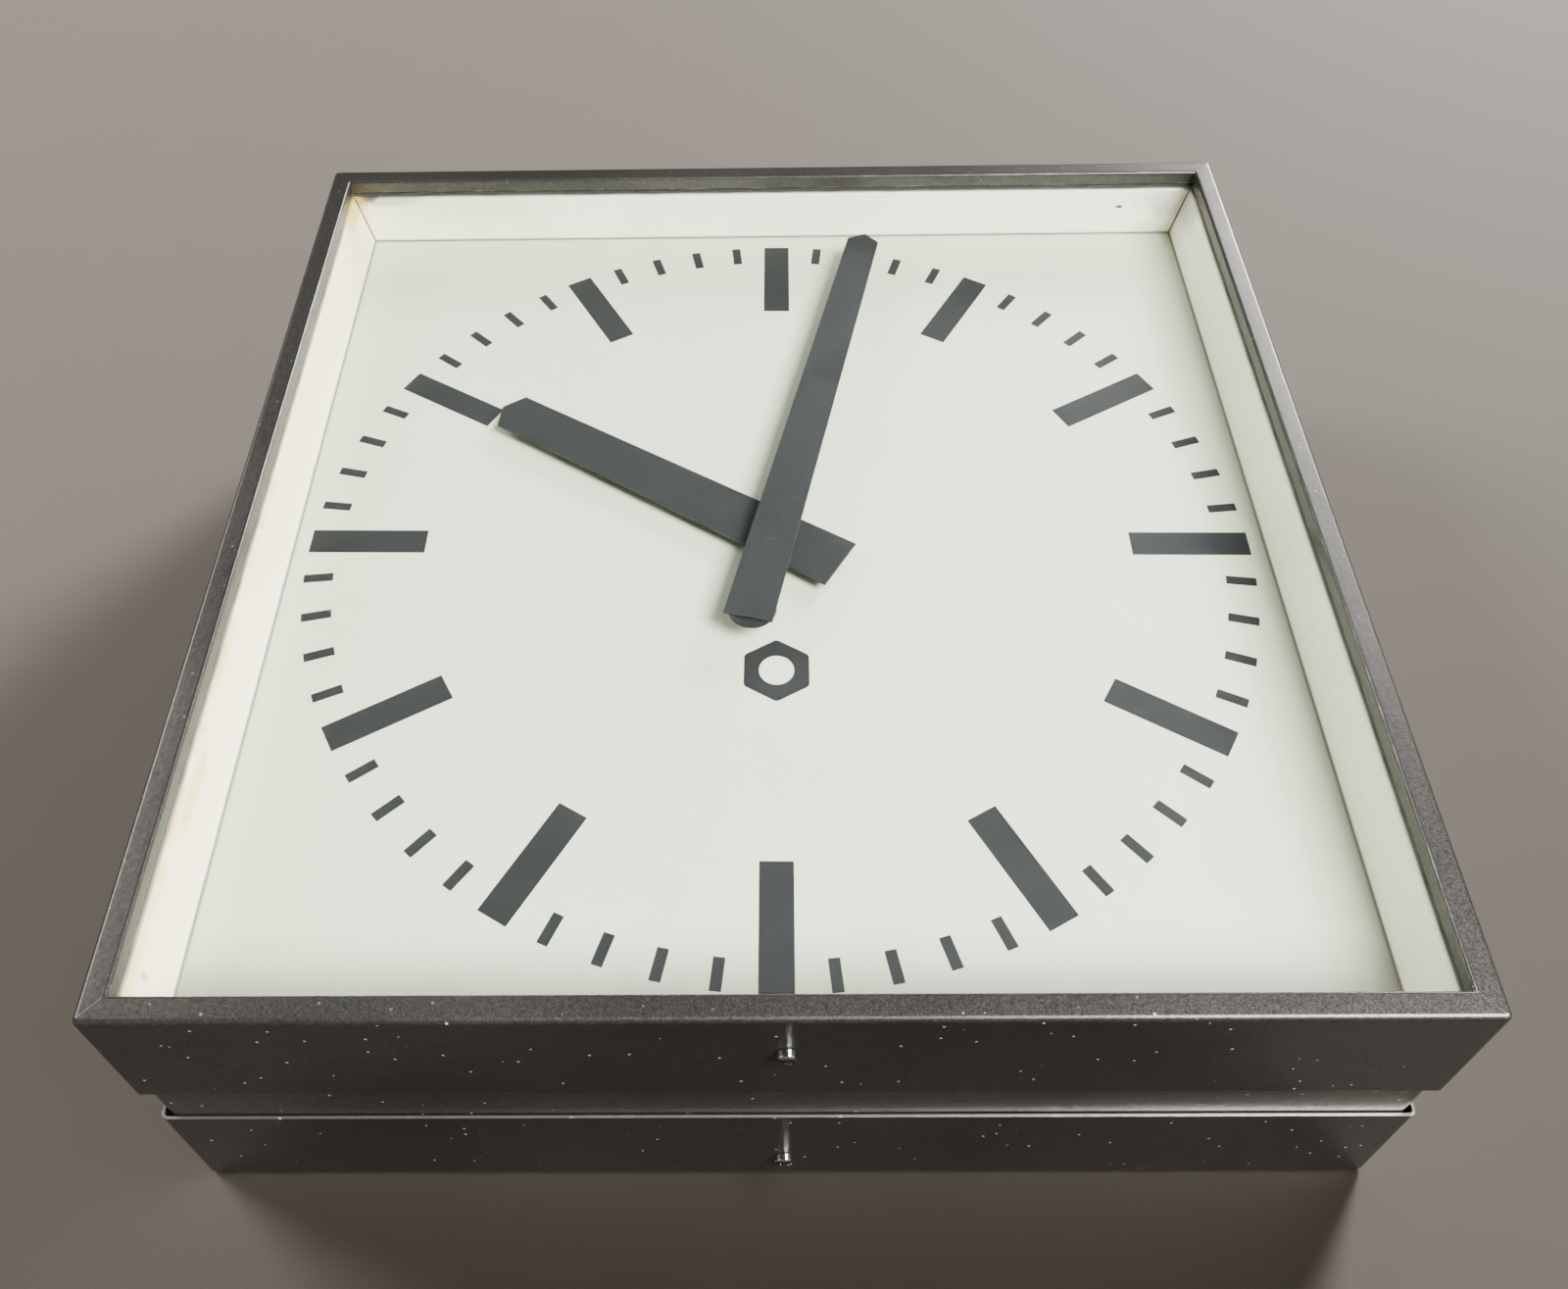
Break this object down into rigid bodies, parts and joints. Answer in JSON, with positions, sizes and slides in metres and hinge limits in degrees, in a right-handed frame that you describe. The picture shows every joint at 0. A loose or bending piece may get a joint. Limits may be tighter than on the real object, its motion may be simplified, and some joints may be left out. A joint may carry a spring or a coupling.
{
  "type": "square wall clock",
  "caption": "Square sheet-steel wall clock: wall tray, case with a white-walled dial, two hands, impulse movement and a lift-off glazed cover.",
  "frame": {"origin": "centre of the wall face of the back plate, where the clock meets the wall", "axes": "+Y into the wall, the dial faces -Y; +Z towards 12 o'clock; +X towards 3 o'clock"},
  "size_m": [0.446, 0.147, 0.4522],
  "materials": {
    "hammered_grey": "dark grey hammered enamel, worn at the edges",
    "cream_enamel": "cream enamel, slightly yellowed",
    "dial_enamel": "pale greenish cream enamel on aluminium sheet",
    "hand_grey": "matt dark grey enamel on aluminium sheet",
    "bright_steel": "bright plated steel",
    "zinc_steel": "zinc plated steel",
    "brass": "turned and stamped brass",
    "clear_glass": "clear flat glass",
    "black_rubber": "moulded rubber",
    "glazing_compound": "set glazing compound",
    "lead_alloy": "cast lead alloy",
    "silicon_iron": "stacked iron sheets",
    "ferrite": "sintered magnet",
    "bobbin_moulding": "moulded bobbin",
    "coil_tape": "taped copper winding",
    "brown_bakelite": "brown phenolic moulding",
    "lead_insulation": "insulated copper wire"
  },
  "bodies": {
    "tray": {"wall_tray": "hammered_grey", "cable_grommet": "black_rubber", "tray_screw_top": "bright_steel", "tray_screw_bottom": "bright_steel", "tray_nut_top": "zinc_steel", "tray_nut_bottom": "zinc_steel"},
    "case": {"case_body": "hammered_grey", "dial_frame": "zinc_steel", "reflector_top": "cream_enamel", "reflector_bottom": "cream_enamel", "reflector_left": "cream_enamel", "reflector_right": "cream_enamel", "dial_plate": "dial_enamel", "movement_bridge": "zinc_steel", "bridge_screw_left": "zinc_steel", "bridge_screw_right": "zinc_steel", "movement_standoff_1": "zinc_steel", "movement_standoff_2": "zinc_steel", "movement_standoff_3": "zinc_steel", "front_plate": "brass", "rear_plate": "brass", "plate_pillar_1": "brass", "plate_pillar_2": "brass", "plate_pillar_3": "brass", "plate_nut_1": "zinc_steel", "plate_nut_2": "zinc_steel", "plate_nut_3": "zinc_steel", "stator_yoke": "silicon_iron", "yoke_screw_left": "zinc_steel", "yoke_screw_right": "zinc_steel", "coil_bobbin": "bobbin_moulding", "coil_winding": "coil_tape", "minute_wheel_post": "bright_steel", "terminal_block": "brown_bakelite", "terminal_screw_1": "brass", "terminal_screw_2": "brass", "coil_lead_1": "lead_insulation", "coil_lead_2": "lead_insulation"},
    "cover": {"cover_frame": "hammered_grey", "cover_glass": "clear_glass", "glazing_bead": "glazing_compound", "cover_screw_top": "bright_steel", "cover_screw_bottom": "bright_steel", "cover_nut_top": "zinc_steel", "cover_nut_bottom": "zinc_steel"},
    "rotor": {"rotor_arbor": "bright_steel", "rotor_magnet": "ferrite"},
    "minute": {"minute_hand": "hand_grey", "minute_hand_boss": "brass", "minute_counterweight": "lead_alloy", "cannon_pinion": "bright_steel", "centre_arbor": "bright_steel", "centre_wheel": "brass"},
    "minute_wheel": {"minute_wheel": "brass"},
    "hour": {"hour_hand": "hand_grey", "hour_hand_boss": "brass", "hour_wheel": "brass"}
  },
  "joints": [
    {"name": "case_lift_off", "type": "slide", "parent": "tray", "child": "case", "axis": [0, -1, 0], "range_m": [0, 0.06]},
    {"name": "cover_lift_off", "type": "slide", "parent": "case", "child": "cover", "axis": [0, -1, 0], "range_m": [0, 0.06]},
    {"name": "minute_turn", "type": "hinge", "parent": "case", "child": "minute", "pos_m": [0, -0.1, 0], "axis": [0, 1, 0], "continuous": true},
    {"name": "hour_turn", "type": "hinge", "parent": "case", "child": "hour", "pos_m": [0, -0.1, 0], "axis": [0, 1, 0], "continuous": true},
    {"name": "minute_wheel_turn", "type": "hinge", "parent": "case", "child": "minute_wheel", "pos_m": [0.0144, -0.09, 0], "axis": [0, 1, 0], "continuous": true},
    {"name": "rotor_turn", "type": "hinge", "parent": "case", "child": "rotor", "pos_m": [0, -0.07, -0.033], "axis": [0, 1, 0], "continuous": true}
  ],
  "couplings": [
    {"joint": "hour_turn", "follows": "minute_turn", "ratio": 0.083333},
    {"joint": "minute_wheel_turn", "follows": "minute_turn", "ratio": -0.33333},
    {"joint": "rotor_turn", "follows": "minute_turn", "ratio": -10}
  ]
}
